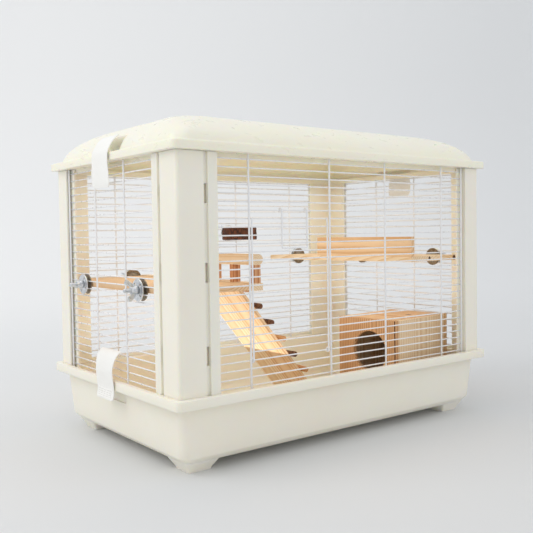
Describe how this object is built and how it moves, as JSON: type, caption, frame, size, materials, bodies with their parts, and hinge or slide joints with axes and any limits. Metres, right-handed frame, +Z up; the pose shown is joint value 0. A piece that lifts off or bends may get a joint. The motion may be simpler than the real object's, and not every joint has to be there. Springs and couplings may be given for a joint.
{
  "type": "hamster cage",
  "caption": "Wire small-pet cage with a deep moulded tray, domed clip-on roof, drop-down front door, wooden balcony, ladder, fenced shelf, log step and lift-off nest house",
  "frame": {"origin": "under the middle of the cage's outline, on the surface that its feet stand on", "axes": "+X to the right as seen from the door side, +Y to the back, +Z up"},
  "size_m": [0.62, 0.392, 0.462],
  "materials": {
    "cream_plastic": "moulded cream plastic, satin",
    "clip_plastic": "moulded off-white plastic, satin",
    "white_wire": "white powder-coated wire",
    "pine_wood": "bare planed softwood",
    "house_wood": "bare planed softwood, warmer tone",
    "rung_wood": "bare round twigs and dowels",
    "bark_wood": "sawn log slice with bark",
    "zinc": "bright zinc plate",
    "aged_zinc": "dull zinc plate"
  },
  "bodies": {
    "tray": {"base_tray": "cream_plastic"},
    "left_tray_clip": {"left_tray_clip": "clip_plastic"},
    "right_tray_clip": {"right_tray_clip": "clip_plastic"},
    "cage_frame": {"front_left_post": "cream_plastic", "front_right_post": "cream_plastic", "back_left_post": "cream_plastic", "back_right_post": "cream_plastic", "front_panel": "white_wire", "left_panel": "white_wire", "back_panel": "white_wire", "right_panel": "white_wire", "balcony_floor": "pine_wood", "balcony_ledge": "pine_wood", "balcony_posts": "pine_wood", "balcony_rail": "pine_wood", "shelf_board": "pine_wood", "shelf_fence": "pine_wood", "bark_step": "bark_wood", "mounting_bolts": "zinc", "inner_washers": "aged_zinc", "outer_washers": "zinc"},
    "front_door": {"front_door": "white_wire"},
    "door_latch": {"door_latch": "white_wire"},
    "roof": {"roof_cover": "cream_plastic"},
    "left_roof_clip": {"left_roof_clip": "clip_plastic"},
    "right_roof_clip": {"right_roof_clip": "clip_plastic"},
    "ladder": {"ladder_planks": "pine_wood", "ladder_rungs": "rung_wood"},
    "house": {"house_left_wall": "house_wood", "house_front_wall": "pine_wood", "house_right_wall": "pine_wood", "house_back_wall": "pine_wood", "house_cleats": "pine_wood"},
    "house_roof": {"house_roof": "pine_wood"},
    "left_front_wing_nut": {"left_front_wing_nut": "zinc"},
    "left_rear_wing_nut": {"left_rear_wing_nut": "zinc"},
    "right_front_wing_nut": {"right_front_wing_nut": "zinc"},
    "right_rear_wing_nut": {"right_rear_wing_nut": "zinc"},
    "balcony_wing_nut": {"balcony_wing_nut": "zinc"},
    "shelf_wing_nut": {"shelf_wing_nut": "zinc"},
    "step_wing_nut": {"step_wing_nut": "zinc"}
  },
  "joints": [
    {"name": "frame_lift", "type": "slide", "parent": "tray", "child": "cage_frame", "axis": [0, 0, 1], "range_m": [0, 0.025]},
    {"name": "roof_lift", "type": "slide", "parent": "cage_frame", "child": "roof", "axis": [0, 0, 1], "range_m": [0, 0.06]},
    {"name": "door_hinge", "type": "hinge", "parent": "cage_frame", "child": "front_door", "pos_m": [-0.11075, -0.1807, 0.13738], "axis": [1, 0, 0], "range_deg": [0, 120]},
    {"name": "latch_lift", "type": "slide", "parent": "front_door", "child": "door_latch", "axis": [0, 0, 1], "range_m": [0, 0.005]},
    {"name": "left_roof_clip_rock", "type": "hinge", "parent": "roof", "child": "left_roof_clip", "pos_m": [-0.3023, -0.0045, 0.4166], "axis": [0, 1, 0], "range_deg": [0, 15]},
    {"name": "right_roof_clip_rock", "type": "hinge", "parent": "roof", "child": "right_roof_clip", "pos_m": [0.3023, -0.0045, 0.4166], "axis": [0, -1, 0], "range_deg": [0, 15]},
    {"name": "left_tray_clip_rock", "type": "hinge", "parent": "tray", "child": "left_tray_clip", "pos_m": [-0.3023, -0.0045, 0.0895], "axis": [0, -1, 0], "range_deg": [0, 20]},
    {"name": "right_tray_clip_rock", "type": "hinge", "parent": "tray", "child": "right_tray_clip", "pos_m": [0.3023, -0.0045, 0.0895], "axis": [0, 1, 0], "range_deg": [0, 20]},
    {"name": "ladder_swing", "type": "hinge", "parent": "cage_frame", "child": "ladder", "pos_m": [-0.1355, -0.0301, 0.2331], "axis": [0, -1, 0], "range_deg": [0, 18]},
    {"name": "house_lift", "type": "slide", "parent": "tray", "child": "house", "axis": [0, 0, 1], "range_m": [0, 0.04]},
    {"name": "house_roof_lift", "type": "slide", "parent": "house", "child": "house_roof", "axis": [0, 0, 1], "range_m": [0, 0.04]},
    {"name": "left_front_wing_nut_turn", "type": "hinge", "parent": "cage_frame", "child": "left_front_wing_nut", "pos_m": [-0.296, -0.0814, 0.2306], "axis": [-1, 0, 0], "continuous": true},
    {"name": "left_rear_wing_nut_turn", "type": "hinge", "parent": "cage_frame", "child": "left_rear_wing_nut", "pos_m": [-0.296, 0.0923, 0.2306], "axis": [-1, 0, 0], "continuous": true},
    {"name": "right_front_wing_nut_turn", "type": "hinge", "parent": "cage_frame", "child": "right_front_wing_nut", "pos_m": [0.296, -0.0976, 0.2573], "axis": [1, 0, 0], "continuous": true},
    {"name": "right_rear_wing_nut_turn", "type": "hinge", "parent": "cage_frame", "child": "right_rear_wing_nut", "pos_m": [0.296, 0.077, 0.2573], "axis": [1, 0, 0], "continuous": true},
    {"name": "balcony_wing_nut_turn", "type": "hinge", "parent": "cage_frame", "child": "balcony_wing_nut", "pos_m": [-0.1668, 0.182, 0.2306], "axis": [0, 1, 0], "continuous": true},
    {"name": "shelf_wing_nut_turn", "type": "hinge", "parent": "cage_frame", "child": "shelf_wing_nut", "pos_m": [0.1987, 0.182, 0.2573], "axis": [0, 1, 0], "continuous": true},
    {"name": "step_wing_nut_turn", "type": "hinge", "parent": "cage_frame", "child": "step_wing_nut", "pos_m": [0.0335, 0.182, 0.3045], "axis": [0, 1, 0], "continuous": true}
  ]
}
